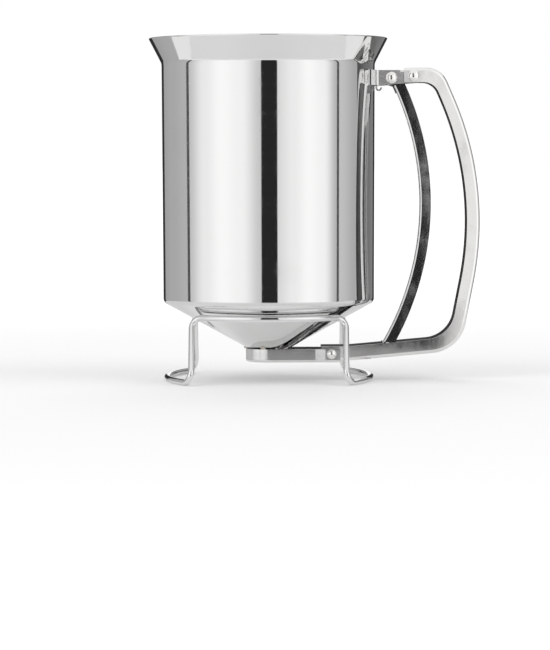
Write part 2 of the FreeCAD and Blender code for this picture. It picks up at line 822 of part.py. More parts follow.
def make_top_rivets():
    z = bracket_top_z - top_rivet_drop
    rivets = []
    for side in (-1, 1):
        inner = side * (bracket_inner_half - top_clinch_height)
        outer = side * handle_width / 2
        shank = cylinder_y(top_rivet_x, z, rivet_shank_radius, min(inner, outer), max(inner, outer))
        head = domed_head(top_rivet_x, z, outer, rivet_head_height, rivet_head_radius, side)
        flat = side * bracket_inner_half
        clinch_radius = min(rivet_shank_radius + clinch_lip, top_rivet_drop - bracket_sheet - web_clear)
        clinch = cylinder_y(top_rivet_x, z, clinch_radius, min(inner, flat), max(inner, flat))
        rivets.append(shank.fuse(head).fuse(clinch).removeSplitter())
    return rivets


def make_bottom_rivets():
    rivets = []
    for side in (-1, 1):
        seat = side * (handle_width / 2 - handle_sheet)
        inner = seat - side * bottom_clinch_height
        outer = side * tongue_half
        shank = cylinder_y(bottom_rivet_x, bottom_rivet_z, rivet_shank_radius,
                           min(inner, outer), max(inner, outer))
        head = domed_head(bottom_rivet_x, bottom_rivet_z, outer, small_head_height,
                          small_head_radius, side)
        clinch = cylinder_y(bottom_rivet_x, bottom_rivet_z, rivet_shank_radius + clinch_lip,
                            min(inner, seat), max(inner, seat))
        rivets.append(shank.fuse(head).fuse(clinch).removeSplitter())
    return rivets


def make_link_pin():
    """Cross pin of the trigger's foot, with a small head outside each flange."""
    half = trigger_width / 2
    pin = cylinder_y(pin_x, pin_z, pin_radius, -half, half)
    for side in (-1, 1):
        pin = pin.fuse(domed_head(pin_x, pin_z, side * half, pin_head_height,
                                  pin_radius + pin_head_margin, side))
    return pin.removeSplitter()


def stand_corners():
    half_angle = math.radians(stand_arc_half_angle)
    seat_z = stand_ring_z + (stand_wire / 2 + stand_seat_gap) * math.cos(math.radians(cone_slope))
    seat_radius = pan_end_radius + (seat_z - cone_pan_z) / cone_tangent
    ring = seat_radius + (stand_wire / 2 + stand_seat_gap) * math.sin(math.radians(cone_slope))
    flat = stand_weld_length / 2 + stand_weld_height
    turn_x = flat + ring * math.tan(half_angle / 2)
    run = stand_leg_x - turn_x
    corner_y = ring - run * math.tan(half_angle)
    return ring, turn_x, corner_y


def stand_half_path():
    """Corner list of the whole wire, starting and ending at the weld behind the cup."""
    ring, turn_x, corner_y = stand_corners()
    z = stand_ring_z
    foot = stand_foot_z
    start = stand_weld_length / 2
    right = [
        (vec(start, ring, z), 0),
        (vec(turn_x, ring, z), ring),
        (vec(stand_leg_x, corner_y, z), stand_corner_radius),
        (vec(stand_leg_x, stand_foot_y, foot), stand_corner_radius),
        (vec(stand_tip_x, 0, foot), stand_tip_radius),
        (vec(stand_leg_x, -stand_foot_y, foot), stand_corner_radius),
        (vec(stand_leg_x, -corner_y, z), stand_corner_radius),
        (vec(turn_x, -ring, z), ring),
    ]
    left = [(vec(-p.x, p.y, p.z), radius) for p, radius in reversed(right)]
    return right + left


def make_stand():
    edges = rounded(stand_half_path())
    path = Part.Wire(edges)
    first = path.Edges[0]
    start = first.valueAt(first.FirstParameter)
    circle = Part.Circle(start, first.tangentAt(first.FirstParameter), stand_wire / 2)
    tube = path.makePipeShell([Part.Wire([circle.toShape()])], True, False)
    expected = math.pi * (stand_wire / 2) ** 2 * path.Length
    print("stand volume over expected", round(tube.Volume / expected, 4))
    return tube


def make_stand_weld():
    """Butt weld that closes the wire behind the cup, slightly proud of it."""
    ring, turn_x, corner_y = stand_corners()
    bead = Part.makeCylinder(stand_wire / 2 + stand_weld_height, stand_weld_length,
                             vec(-stand_weld_length / 2, ring, stand_ring_z), vec(1, 0, 0))
    return bead.makeFillet(stand_weld_round, bead.Edges[:1] + bead.Edges[2:])


def report_levels():
    """Print the levels that the joints and openings use."""
    print("rim", round(rim_z, 3), "wall bottom", round(wall_bottom_z, 3), "pivot", round(pivot_z, 3))
    print("pin", round(pin_z, 3), "handle top", round(handle_top_z, 3), "cone at pan", cone_pan_z)


def main():
    os.makedirs("parts", exist_ok=True)
    save("cup_body", make_cup())
    save("spout_tube", make_spout())
    save("spout_weld", make_spout_weld())
    save("valve_pan", make_pan())
    save("pan_tack_welds", make_pan_welds())
    save("gate_slide", make_gate())
    save("link_pin", make_link_pin())
    save("handle_grip", make_handle())
    save("handle_top_rivets", make_top_rivets())
    save("handle_bottom_rivets", make_bottom_rivets())
    save("top_bracket", make_bracket())
    save("bracket_spot_welds", make_bracket_welds())
    save("trigger_lever", make_trigger())
    save("trigger_pivot_rivet", make_pivot_rivet())
    save("pivot_washers", make_pivot_washers())
    save("pivot_sleeve", make_sleeve())
    save("return_spring", make_return_spring())
    save("stand_wire", make_stand())
    save("stand_weld", make_stand_weld())
    report_levels()


main()
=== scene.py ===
"""Steel finishes, studio and camera for a pancake batter dispenser, laid out as an add-on."""
import math

import bmesh
import bpy
from bpy.props import FloatProperty, FloatVectorProperty, PointerProperty
from mathutils import Euler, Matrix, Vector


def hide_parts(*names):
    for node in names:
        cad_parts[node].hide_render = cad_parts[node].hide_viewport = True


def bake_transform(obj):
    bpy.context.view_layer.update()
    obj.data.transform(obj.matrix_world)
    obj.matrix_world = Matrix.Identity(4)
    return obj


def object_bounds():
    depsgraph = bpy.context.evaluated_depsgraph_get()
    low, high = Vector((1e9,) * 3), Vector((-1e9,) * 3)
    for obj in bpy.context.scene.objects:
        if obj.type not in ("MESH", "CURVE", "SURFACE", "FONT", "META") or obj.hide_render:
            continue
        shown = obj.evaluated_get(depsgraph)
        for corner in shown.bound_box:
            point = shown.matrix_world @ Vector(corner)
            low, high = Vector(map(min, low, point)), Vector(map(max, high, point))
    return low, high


bl_info = {
    "name": "Batter Dispenser Finish",
    "version": (1, 0, 0),
    "blender": (4, 5, 0),
    "location": "View3D > Sidebar > Dispenser",
    "description": "Steel finishes, studio and camera for a pancake batter dispenser",
    "category": "Object",
}

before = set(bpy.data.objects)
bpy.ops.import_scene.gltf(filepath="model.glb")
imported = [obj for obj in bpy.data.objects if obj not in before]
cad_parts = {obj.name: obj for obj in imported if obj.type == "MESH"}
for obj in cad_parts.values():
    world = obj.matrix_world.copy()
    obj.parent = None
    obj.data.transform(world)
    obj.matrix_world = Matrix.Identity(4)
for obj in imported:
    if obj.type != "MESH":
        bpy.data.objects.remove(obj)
cad_low, cad_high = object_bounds()

# Where the lean of the handle's shading is level, and the heights between which it fades in.
GRIP_LINE = 0.095
TOE_STARTS = 0.02
TOE_FULL = 0.05

# Point that each channel's web looks towards, and half the width between its sides.
GRIP_CHANNEL = {"Centre": (0.075, 0.0, 0.075), "Half_Width": 0.0088}
TRIGGER_CHANNEL = {"Centre": (0.13, 0.0, 0.075), "Half_Width": 0.0062}

# Stretch of the polishing lines along X, Y and Z: the smallest number is the way that they run.
ALONG_ARM = (0.08, 1.0, 1.0)
ALONG_BRACKET = (0.1, 1.0, 1.0)
ALONG_GRIP = (0.5, 1.0, 0.25)
ALONG_TRIGGER = (0.6, 1.0, 0.2)

# Depths of surface unevenness, in metres.
CUP_RIPPLE = 0.00003
PAN_RIPPLE = 0.00004
GATE_RIPPLE = 0.00002
GRIP_RIPPLE = 0.00005
TRIGGER_RIPPLE = 0.00005
BRACKET_RIPPLE = 0.00012
RIVET_DENTS = 0.00006
WELD_LUMPS = 0.0001

SPRING_ROUGHNESS = 0.2
WIRE_ROUGHNESS = 0.05
RIVET_ROUGHNESS = 0.1

FLOOR_REACH = 30.0
FLOOR_SIDES = 96
FLOOR_BOUNCE = 0.6
FLOOR_GLOSS = 0.06
FLOOR_IOR = 1.15

# Distances from the cup's axis between which the floor fades into the white background.
FADE_STARTS = 0.25
FADE_ENDS = 1.0

# Light added to the floor: for the camera, and for mirrors under the cup and clear of it.
CAMERA_LIFT = 0.12
UNDER_CUP = 0.03
CLEAR_OF_CUP = 0.09
UNDER_CUP_LIFT = 0.28
MIRROR_LIFT = 0.04

# Each card's name, its first and last bearing in degrees, and its light from edge to edge.
CARDS = (
    ("left_softbox", -92.2, -7.36, (0.7, 1.08, 1.25, 1.17, 0.74)),
    ("right_softbox", 9.3, 77.0, (0.92, 1.1, 1.25, 1.17, 0.6)),
    ("front_gap", -7.36, 9.3, (0.025, 0.025)),
    ("left_frame", -96.2, -92.2, (0.1, 0.1)),
    ("right_frame", 77.0, 80.0, (0.1, 0.1)),
    ("left_wall", -151.4, -96.2, (0.42, 0.5, 0.57)),
    ("right_wall", 80.0, 108.8, (0.7, 0.5)),
    ("right_screen", 108.8, 154.9, (0.1, 0.2, 0.25)),
    ("rear_gap_left", -172.0, -151.4, (0.03, 0.03)),
    ("rear_gap_right", 154.9, 172.0, (0.03, 0.03)),
    ("rear_softbox", 172.0, 188.0, (0.8, 1.1, 0.8)),
)

LAMPS = (
    ("lamp_left", (-0.9, -0.7, 1.3)),
    ("lamp_right", (0.9, -0.5, 1.3)),
    ("lamp_rear", (0.0, 1.0, 1.3)),
)
LAMP_SIZE = 1.0
SENSOR_WIDTH = 36.0


class SteelSettings(bpy.types.PropertyGroup):
    """Colours and grain of the dispenser's steel parts."""

    mirror_tone: FloatVectorProperty(
        name="Mirror tone", description="Colour of the polished cup, trigger and bracket",
        default=(0.75, 0.75, 0.745), size=3, subtype="COLOR", min=0.0, max=1.0)
    grip_tone: FloatVectorProperty(
        name="Grip tone", description="Colour of the handle's buffed channel",
        default=(0.84, 0.835, 0.825), size=3, subtype="COLOR", min=0.0, max=1.0)
    wire_tone: FloatVectorProperty(
        name="Wire tone", description="Colour of the bright drawn stand wire",
        default=(0.76, 0.76, 0.76), size=3, subtype="COLOR", min=0.0, max=1.0)
    spring_tone: FloatVectorProperty(
        name="Spring tone", description="Colour of the hard drawn spring wire",
        default=(0.45, 0.445, 0.44), size=3, subtype="COLOR", min=0.0, max=1.0)
    rivet_tone: FloatVectorProperty(
        name="Rivet tone", description="Colour of rivets, pin, washers and sleeve",
        default=(0.82, 0.815, 0.8), size=3, subtype="COLOR", min=0.0, max=1.0)
    weld_tone: FloatVectorProperty(
        name="Weld tone", description="Colour of the plain welds",
        default=(0.58, 0.56, 0.53), size=3, subtype="COLOR", min=0.0, max=1.0)
    mirror_roughness: FloatProperty(
        name="Mirror roughness", description="Blur of reflections on the polished parts",
        default=0.05, min=0.0, max=1.0, subtype="FACTOR")
    grip_roughness: FloatProperty(
        name="Grip roughness", description="Blur of reflections on the handle's channel",
        default=0.1, min=0.0, max=1.0, subtype="FACTOR")
    grip_toe: FloatProperty(
        name="Grip toe", description="Slope by which the shading of the handle leans away from the cup",
        default=0.022, min=0.0, max=0.2)
    inside_roughness: FloatProperty(
        name="Inside roughness", description="Blur of reflections inside the cup",
        default=0.2, min=0.0, max=1.0, subtype="FACTOR")
    bracket_roughness: FloatProperty(
        name="Bracket roughness", description="Blur of reflections on the top bracket",
        default=0.26, min=0.0, max=1.0, subtype="FACTOR")
    channel_dulling: FloatProperty(
        name="Channel dulling", description="Blur added on the inner faces of the channels",
        default=0.25, min=0.0, max=1.0, subtype="FACTOR")
    # Painted shade: the factor by which the base colour is darkened on the inner faces of the channels.
    channel_painted_shade: FloatProperty(
        name="Channel darkening", description="Tone of the unpolished inner faces of the channels",
        default=0.35, min=0.0, max=1.0, subtype="FACTOR")
    grain_pitch: FloatProperty(
        name="Grain pitch", description="Distance between polishing lines",
        default=0.0005, min=0.0001, max=0.01, unit="LENGTH")
    grain_height: FloatProperty(
        name="Grain height", description="Depth of the polishing lines",
        default=0.000002, min=0.0, max=0.001, unit="LENGTH")


class StudioSettings(bpy.types.PropertyGroup):
    """The cards that the polished steel mirrors, the lamps and the floor."""

    card_distance: FloatProperty(
        name="Card distance", description="From the cup's axis to the ring of cards",
        default=0.82, min=0.3, max=3.0, unit="LENGTH")
    card_height: FloatProperty(
        name="Card height", description="Height of the cards above the outlet",
        default=0.7, min=0.1, max=3.0, unit="LENGTH")
    card_drop: FloatProperty(
        name="Card drop", description="How far the cards hang below the outlet",
        default=0.25, min=0.0, max=3.0, unit="LENGTH")
    table_radius: FloatProperty(
        name="Table radius", description="Part of the floor that the steel mirrors",
        default=0.26, min=0.1, max=3.0, unit="LENGTH")
    floor_tone: FloatProperty(
        name="Floor tone", description="Lightness of the floor",
        default=0.86, min=0.0, max=1.0, subtype="FACTOR")
    ambient: FloatProperty(
        name="Ambient light", description="Strength of the even light from all round",
        default=0.62, min=0.0, max=5.0)
    lamp_power: FloatProperty(
        name="Lamp power", description="Power of each overhead lamp, in watts",
        default=5.0, min=0.0, max=200.0)


class CameraSettings(bpy.types.PropertyGroup):
    """Where the camera stands and how it is turned."""

    distance: FloatProperty(
        name="Distance", description="From the camera to the cup's axis",
        default=1.44, min=0.5, max=5.0, unit="LENGTH")
    height: FloatProperty(
        name="Height", description="Camera height above the outlet",
        default=0.0971, min=-1.0, max=3.0, unit="LENGTH")
    lens: FloatProperty(
        name="Focal length", description="Focal length of the lens",
        default=166.15, min=20.0, max=400.0, unit="CAMERA")
    pitch: FloatProperty(
        name="Pitch", description="How far the camera looks down",
        default=math.radians(3.167), min=-1.0, max=1.0, unit="ROTATION")
    yaw: FloatProperty(
        name="Yaw", description="How far the camera looks to the right",
        default=math.radians(0.118), min=-1.0, max=1.0, unit="ROTATION")
    roll: FloatProperty(
        name="Roll", description="How far the camera leans",
        default=math.radians(-0.15), min=-1.0, max=1.0, unit="ROTATION")


def node_group(name, inputs, outputs):
    """Empty shader node group with named sockets, and its input and output nodes."""
    tree = bpy.data.node_groups.new(name, "ShaderNodeTree")
    for label, kind, default in inputs:
        socket = tree.interface.new_socket(label, in_out="INPUT", socket_type=kind)
        socket.default_value = default
    for label, kind in outputs:
        tree.interface.new_socket(label, in_out="OUTPUT", socket_type=kind)
    return tree, tree.nodes.new("NodeGroupInput"), tree.nodes.new("NodeGroupOutput")


def join(tree, source, target):
    """Link from one socket to another."""
    tree.links.new(source, target)


def math_node(tree, operation, first, second=None):
    """Math node fed by sockets or numbers."""
    node = tree.nodes.new("ShaderNodeMath")
    node.operation = operation
    for socket, value in zip(node.inputs, (first, second)):
        if isinstance(value, bpy.types.NodeSocket):
            join(tree, value, socket)
        elif value is not None:
            socket.default_value = value
    return node.outputs["Value"]


def range_node(tree, value, low, high, new_low=0.0, new_high=1.0):
    """Smooth remap of a value from low..high to new_low..new_high."""
    node = tree.nodes.new("ShaderNodeMapRange")
    node.interpolation_type = "SMOOTHSTEP"
    join(tree, value, node.inputs["Value"])
    node.inputs["From Min"].default_value = low
    node.inputs["From Max"].default_value = high
    node.inputs["To Min"].default_value = new_low
    node.inputs["To Max"].default_value = new_high
    return node.outputs["Result"]


def noise_node(tree, position, scale, detail, rough=0.5):
    """Noise texture at a position, with its scale as a number or a socket."""
    node = tree.nodes.new("ShaderNodeTexNoise")
    join(tree, position, node.inputs["Vector"])
    if isinstance(scale, bpy.types.NodeSocket):
        join(tree, scale, node.inputs["Scale"])
    else:
        node.inputs["Scale"].default_value = scale
    node.inputs["Detail"].default_value = detail
    node.inputs["Roughness"].default_value = rough
    return node.outputs["Fac"]


def make_turned_position():
    """Position on a turned part: radius and height count fully, the way round only a little."""
    tree, given, result = node_group(
        "Turned Position",
        [("Position", "NodeSocketVector", (0.0, 0.0, 0.0)), ("Round", "NodeSocketFloat", 0.002)],
        [("Position", "NodeSocketVector")])
    split = tree.nodes.new("ShaderNodeSeparateXYZ")
    join(tree, given.outputs["Position"], split.inputs["Vector"])
    x, y, z = split.outputs
    radius = math_node(tree, "SQRT", math_node(tree, "ADD", math_node(tree, "MULTIPLY", x, x),
                                               math_node(tree, "MULTIPLY", y, y)))
    safe = math_node(tree, "MAXIMUM", radius, 0.0001)
    turn_x = math_node(tree, "MULTIPLY", math_node(tree, "DIVIDE", x, safe), given.outputs["Round"])
    turn_y = math_node(tree, "MULTIPLY", math_node(tree, "DIVIDE", y, safe), given.outputs["Round"])
    merge = tree.nodes.new("ShaderNodeCombineXYZ")
    join(tree, math_node(tree, "ADD", radius, turn_x), merge.inputs["X"])
    join(tree, turn_y, merge.inputs["Y"])
    join(tree, z, merge.inputs["Z"])
    join(tree, merge.outputs["Vector"], result.inputs["Position"])
    return tree


def make_polishing_grain():
    """Fine lines left by polishing, stretched along the way that the wheel ran."""
    tree, given, result = node_group(
        "Polishing Grain",
        [("Position", "NodeSocketVector", (0.0, 0.0, 0.0)),
         ("Stretch", "NodeSocketVector", (1.0, 1.0, 1.0)),
         ("Pitch", "NodeSocketFloat", 0.0005)],
        [("Height", "NodeSocketFloat"), ("Blur", "NodeSocketFloat")])
    stretch = tree.nodes.new("ShaderNodeVectorMath")
    stretch.operation = "MULTIPLY"
    join(tree, given.outputs["Position"], stretch.inputs[0])
    join(tree, given.outputs["Stretch"], stretch.inputs[1])
    fine_scale = math_node(tree, "DIVIDE", 1.0, given.outputs["Pitch"])
    fine = noise_node(tree, stretch.outputs["Vector"], fine_scale, 3.0, 0.65)
    coarse_scale = math_node(tree, "MULTIPLY", fine_scale, 0.17)
    coarse = noise_node(tree, stretch.outputs["Vector"], coarse_scale, 2.0)
    both = math_node(tree, "ADD", math_node(tree, "MULTIPLY", fine, 0.6),
                     math_node(tree, "MULTIPLY", coarse, 0.4))
    join(tree, both, result.inputs["Height"])
    join(tree, range_node(tree, coarse, 0.35, 0.7), result.inputs["Blur"])
    return tree


def make_handling_marks():
    """Soft smears and small specks that handling leaves on bright steel."""
    tree, given, result = node_group(
        "Handling Marks",
        [("Position", "NodeSocketVector", (0.0, 0.0, 0.0)), ("Size", "NodeSocketFloat", 0.02)],
        [("Smear", "NodeSocketFloat"), ("Speck", "NodeSocketFloat")])
    scale = math_node(tree, "DIVIDE", 1.0, given.outputs["Size"])
    cloud = noise_node(tree, given.outputs["Position"], scale, 4.0, 0.6)
    join(tree, range_node(tree, cloud, 0.52, 0.74), result.inputs["Smear"])
    speck_scale = math_node(tree, "MULTIPLY", scale, 24.0)
    speck = noise_node(tree, given.outputs["Position"], speck_scale, 1.0)
    join(tree, range_node(tree, speck, 0.7, 0.78), result.inputs["Speck"])
    return tree


def make_sheet_ripple():
    """Slow unevenness of pressed sheet, which bends the lines mirrored in it."""
    tree, given, result = node_group(
        "Sheet Ripple",
        [("Position", "NodeSocketVector", (0.0, 0.0, 0.0)), ("Size", "NodeSocketFloat", 0.03)],
        [("Height", "NodeSocketFloat")])
    scale = math_node(tree, "DIVIDE", 1.0, given.outputs["Size"])
    join(tree, noise_node(tree, given.outputs["Position"], scale, 1.0, 0.4), result.inputs["Height"])
    return tree


def make_inside_mask():
    """1 on the inner face of the cup and 0 on its outer face."""
    tree, given, result = node_group(
        "Inside Mask",
        [("Position", "NodeSocketVector", (0.0, 0.0, 0.0)), ("Normal", "NodeSocketVector", (0.0, 0.0, 1.0))],
        [("Inside", "NodeSocketFloat")])
    flat = tree.nodes.new("ShaderNodeVectorMath")
    flat.operation = "MULTIPLY"
    flat.inputs[1].default_value = (1.0, 1.0, 0.0)
    join(tree, given.outputs["Position"], flat.inputs[0])
    outward = tree.nodes.new("ShaderNodeVectorMath")
    outward.operation = "NORMALIZE"
    join(tree, flat.outputs["Vector"], outward.inputs[0])
    lean = tree.nodes.new("ShaderNodeVectorMath")
    lean.operation = "ADD"
    lean.inputs[1].default_value = (0.0, 0.0, -0.5)
    join(tree, outward.outputs["Vector"], lean.inputs[0])
    facing = tree.nodes.new("ShaderNodeVectorMath")
    facing.operation = "DOT_PRODUCT"
    join(tree, lean.outputs["Vector"], facing.inputs[0])
    join(tree, given.outputs["Normal"], facing.inputs[1])
    join(tree, range_node(tree, facing.outputs["Value"], 0.0, -0.4), result.inputs["Inside"])
    return tree


def make_channel_inside():
    """1 on the inner faces of a bent channel, whose web looks towards a point in the middle plane."""
    tree, given, result = node_group(
        "Channel Inside",
        [("Position", "NodeSocketVector", (0.0, 0.0, 0.0)),
         ("Normal", "NodeSocketVector", (0.0, 0.0, 1.0)),
         ("Centre", "NodeSocketVector", (0.075, 0.0, 0.075)),
         ("Half Width", "NodeSocketFloat", 0.0088)],
        [("Inside", "NodeSocketFloat")])
    place = tree.nodes.new("ShaderNodeSeparateXYZ")
    join(tree, given.outputs["Position"], place.inputs["Vector"])
    facing = tree.nodes.new("ShaderNodeSeparateXYZ")
    join(tree, given.outputs["Normal"], facing.inputs["Vector"])
    side = math_node(tree, "SIGN", place.outputs["Y"])
    inward = math_node(tree, "MULTIPLY", math_node(tree, "MULTIPLY", facing.outputs["Y"], side), -1.0)
    flange = math_node(tree, "GREATER_THAN", inward, 0.3)
    towards = tree.nodes.new("ShaderNodeVectorMath")
    towards.operation = "SUBTRACT"
    join(tree, given.outputs["Centre"], towards.inputs[0])
    join(tree, given.outputs["Position"], towards.inputs[1])
    meeting = tree.nodes.new("ShaderNodeVectorMath")
    meeting.operation = "DOT_PRODUCT"
    join(tree, towards.outputs["Vector"], meeting.inputs[0])
    join(tree, given.outputs["Normal"], meeting.inputs[1])
    across = math_node(tree, "ABSOLUTE", place.outputs["Y"])
    between = math_node(tree, "LESS_THAN", across, given.outputs["Half Width"])
    web = math_node(tree, "MULTIPLY", between,
                    math_node(tree, "GREATER_THAN", meeting.outputs["Value"], 0.0))
    join(tree, math_node(tree, "MAXIMUM", flange, web), result.inputs["Inside"])
    return tree


def make_weld_beads():
    """Lumpy surface and brown heat tint of a plain weld."""
    tree, given, result = node_group(
        "Weld Beads",
        [("Position", "NodeSocketVector", (0.0, 0.0, 0.0)),
         ("Metal", "NodeSocketColor", (0.6, 0.6, 0.6, 1.0)),
         ("Tint", "NodeSocketColor", (0.42, 0.33, 0.22, 1.0))],
        [("Color", "NodeSocketColor"), ("Height", "NodeSocketFloat")])
    lumps = noise_node(tree, given.outputs["Position"], 1400.0, 3.0)
    heat = noise_node(tree, given.outputs["Position"], 500.0, 2.0)
    mix = tree.nodes.new("ShaderNodeMix")
    mix.data_type = "RGBA"
    join(tree, range_node(tree, heat, 0.4, 0.75, 0.0, 0.7), mix.inputs["Factor"])
    join(tree, given.outputs["Metal"], mix.inputs["A"])
    join(tree, given.outputs["Tint"], mix.inputs["B"])
    join(tree, mix.outputs["Result"], result.inputs["Color"])
    join(tree, lumps, result.inputs["Height"])
    return tree


GROUP_MAKERS = {
    "Turned Position": make_turned_position,
    "Polishing Grain": make_polishing_grain,
    "Handling Marks": make_handling_marks,
    "Sheet Ripple": make_sheet_ripple,
    "Inside Mask": make_inside_mask,
    "Channel Inside": make_channel_inside,
    "Weld Beads": make_weld_beads,
}


def place_group(tree, name, **values):
    """Put a shared group in a material, building the group at its first use."""
    shared = bpy.data.node_groups.get(name) or GROUP_MAKERS[name]()
    node = tree.nodes.new("ShaderNodeGroup")
    node.node_tree = shared
    for label, value in values.items():
        socket = node.inputs[label.replace("_", " ")]
        if isinstance(value, bpy.types.NodeSocket):
            join(tree, value, socket)
        else:
            socket.default_value = value
    return node


def new_metal(name, tone):
    """Material with one metal shader, its colour set on the shader's own socket."""
    material = bpy.data.materials.new(name)
    material.use_nodes = True
    tree = material.node_tree
    tree.nodes.clear()
    output = tree.nodes.new("ShaderNodeOutputMaterial")
    shader = tree.nodes.new("ShaderNodeBsdfPrincipled")
    shader.inputs["Base Color"].default_value = (*tone, 1.0)
    shader.inputs["Metallic"].default_value = 1.0
    join(tree, shader.outputs["BSDF"], output.inputs["Surface"])
    coordinate = tree.nodes.new("ShaderNodeTexCoord")
    return material, tree, shader, coordinate.outputs["Object"]


def tone_by_mask(tree, shader, mask, tone, darker, before=None):
    """Base colour that goes from tone, or an earlier mix, to a darker tone where the mask is 1."""
    mix = tree.nodes.new("ShaderNodeMix")
    mix.data_type = "RGBA"
    join(tree, mask, mix.inputs["Factor"])
    if before is None:
        mix.inputs["A"].default_value = (*tone, 1.0)
    else:
        join(tree, before, mix.inputs["A"])
    mix.inputs["B"].default_value = (*(channel * darker for channel in tone), 1.0)
    join(tree, mix.outputs["Result"], shader.inputs["Base Color"])
    return mix.outputs["Result"]


def bump(tree, shader, height, depth, before=None):
    """Bump of a 0..1 height that is depth metres deep, after another bump if one is given."""
    node = tree.nodes.new("ShaderNodeBump")
    node.inputs["Strength"].default_value = 1.0
    node.inputs["Distance"].default_value = depth
    join(tree, height, node.inputs["Height"])
    if before is not None:
        join(tree, before, node.inputs["Normal"])
    join(tree, node.outputs["Normal"], shader.inputs["Normal"])
    return node.outputs["Normal"]


def turned_mirror(name, steel):
    """Mirror polish with rings from spinning outside, and a satin finish inside."""
    material, tree, shader, position = new_metal(name, steel.mirror_tone)
    geometry = tree.nodes.new("ShaderNodeNewGeometry")
    turned = place_group(tree, "Turned Position", Position=position, Round=0.004)
    rings = place_group(tree, "Polishing Grain", Position=turned.outputs["Position"],
                        Pitch=steel.grain_pitch)
    marks = place_group(tree, "Handling Marks", Position=position, Size=0.028)
    ripple = place_group(tree, "Sheet Ripple", Position=position, Size=0.035)
    inside = place_group(tree, "Inside Mask", Position=position, Normal=geometry.outputs["Normal"])
    smear = math_node(tree, "MULTIPLY", marks.outputs["Smear"], 0.035)
    lines = math_node(tree, "MULTIPLY", rings.outputs["Blur"], 0.03)
    speck = math_node(tree, "MULTIPLY", marks.outputs["Speck"], 0.1)
    outside = math_node(tree, "ADD", math_node(tree, "ADD", smear, lines),
                        math_node(tree, "ADD", speck, steel.mirror_roughness - 0.015))
    satin = math_node(tree, "MULTIPLY", inside.outputs["Inside"],
                      steel.inside_roughness - steel.mirror_roughness)
    join(tree, math_node(tree, "ADD", outside, satin), shader.inputs["Roughness"])
    tone_by_mask(tree, shader, marks.outputs["Smear"], steel.mirror_tone, 0.975)
    slow = bump(tree, shader, ripple.outputs["Height"], CUP_RIPPLE)
    bump(tree, shader, rings.outputs["Height"], steel.grain_height, slow)
    return material


def buffed_sheet(name, tone, roughness, steel, stretch, ripple_depth, channel=None, toe=0.0):
    """Pressed sheet that was buffed along its length; a channel gets added blur and painted shade on its
    inner faces.

    Toe leans the shading away from the cup above the lower arm. The faces stay flat.
    """
    material, tree, shader, position = new_metal(name, tone)
    grain = place_group(tree, "Polishing Grain", Position=position, Stretch=stretch,
                        Pitch=steel.grain_pitch)
    marks = place_group(tree, "Handling Marks", Position=position, Size=0.016)
    ripple = place_group(tree, "Sheet Ripple", Position=position, Size=0.018)
    smear = math_node(tree, "MULTIPLY", marks.outputs["Smear"], 0.05)
    lines = math_node(tree, "MULTIPLY", grain.outputs["Blur"], 0.05)
    speck = math_node(tree, "MULTIPLY", marks.outputs["Speck"], 0.08)
    total = math_node(tree, "ADD", math_node(tree, "ADD", smear, lines),
                      math_node(tree, "ADD", speck, roughness - 0.03))
    smeared = tone_by_mask(tree, shader, marks.outputs["Smear"], tone, 0.95)
    if channel is not None:
        geometry = tree.nodes.new("ShaderNodeNewGeometry")
        inside = place_group(tree, "Channel Inside", Position=position,
                             Normal=geometry.outputs["Normal"], **channel)
        dull = math_node(tree, "MULTIPLY", inside.outputs["Inside"], steel.channel_dulling)
        total = math_node(tree, "ADD", total, dull)
        # Painted shade: the channel's inner faces get a darker base colour.
        tone_by_mask(tree, shader, inside.outputs["Inside"], tone, steel.channel_painted_shade, smeared)
    join(tree, total, shader.inputs["Roughness"])
    slow = bump(tree, shader, ripple.outputs["Height"], ripple_depth)
    if toe:
        place = tree.nodes.new("ShaderNodeSeparateXYZ")
        join(tree, position, place.inputs["Vector"])
        upright = range_node(tree, place.outputs["Z"], TOE_STARTS, TOE_FULL)
        turned_out = math_node(tree, "SUBTRACT", GRIP_LINE, place.outputs["X"])
        slow = bump(tree, shader, math_node(tree, "MULTIPLY", turned_out, upright), toe, slow)
    bump(tree, shader, grain.outputs["Height"], 1.5 * steel.grain_height, slow)
    return material


def drawn_wire(name, tone, roughness, steel):
    """Bright drawn wire with faint die lines and handling marks."""
    material, tree, shader, position = new_metal(name, tone)
    marks = place_group(tree, "Handling Marks", Position=position, Size=0.009)
    ripple = place_group(tree, "Sheet Ripple", Position=position, Size=0.004)
    smear = math_node(tree, "MULTIPLY", marks.outputs["Smear"], 0.08)
    speck = math_node(tree, "MULTIPLY", marks.outputs["Speck"], 0.12)
    total = math_node(tree, "ADD", math_node(tree, "ADD", smear, speck), roughness)
    join(tree, total, shader.inputs["Roughness"])
    tone_by_mask(tree, shader, marks.outputs["Speck"], tone, 0.8)
    bump(tree, shader, ripple.outputs["Height"], 4.0 * steel.grain_height)
    return material


def upset_rivet(name, steel):
    """Rivet metal with the light dents that its setting left."""
    material, tree, shader, position = new_metal(name, steel.rivet_tone)
    marks = place_group(tree, "Handling Marks", Position=position, Size=0.004)
    dents = place_group(tree, "Sheet Ripple", Position=position, Size=0.0016)
    smear = math_node(tree, "MULTIPLY", marks.outputs["Smear"], 0.08)
    join(tree, math_node(tree, "ADD", smear, RIVET_ROUGHNESS), shader.inputs["Roughness"])
    tone_by_mask(tree, shader, marks.outputs["Smear"], steel.rivet_tone, 0.92)
    bump(tree, shader, dents.outputs["Height"], RIVET_DENTS)
    return material


def plain_weld(name, steel):
    """Unfinished weld metal."""
    material, tree, shader, position = new_metal(name, steel.weld_tone)
    beads = place_group(tree, "Weld Beads", Position=position, Metal=(*steel.weld_tone, 1.0))
    join(tree, beads.outputs["Color"], shader.inputs["Base Color"])
    join(tree, range_node(tree, beads.outputs["Height"], 0.3, 0.7, 0.28, 0.5), shader.inputs["Roughness"])
    bump(tree, shader, beads.outputs["Height"], WELD_LUMPS)
    return material


def finish_nodes(material, *names):
    """Give CAD nodes their finished material."""
    for name in names:
        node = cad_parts[name]
        node.data.materials.clear()
        node.data.materials.append(material)


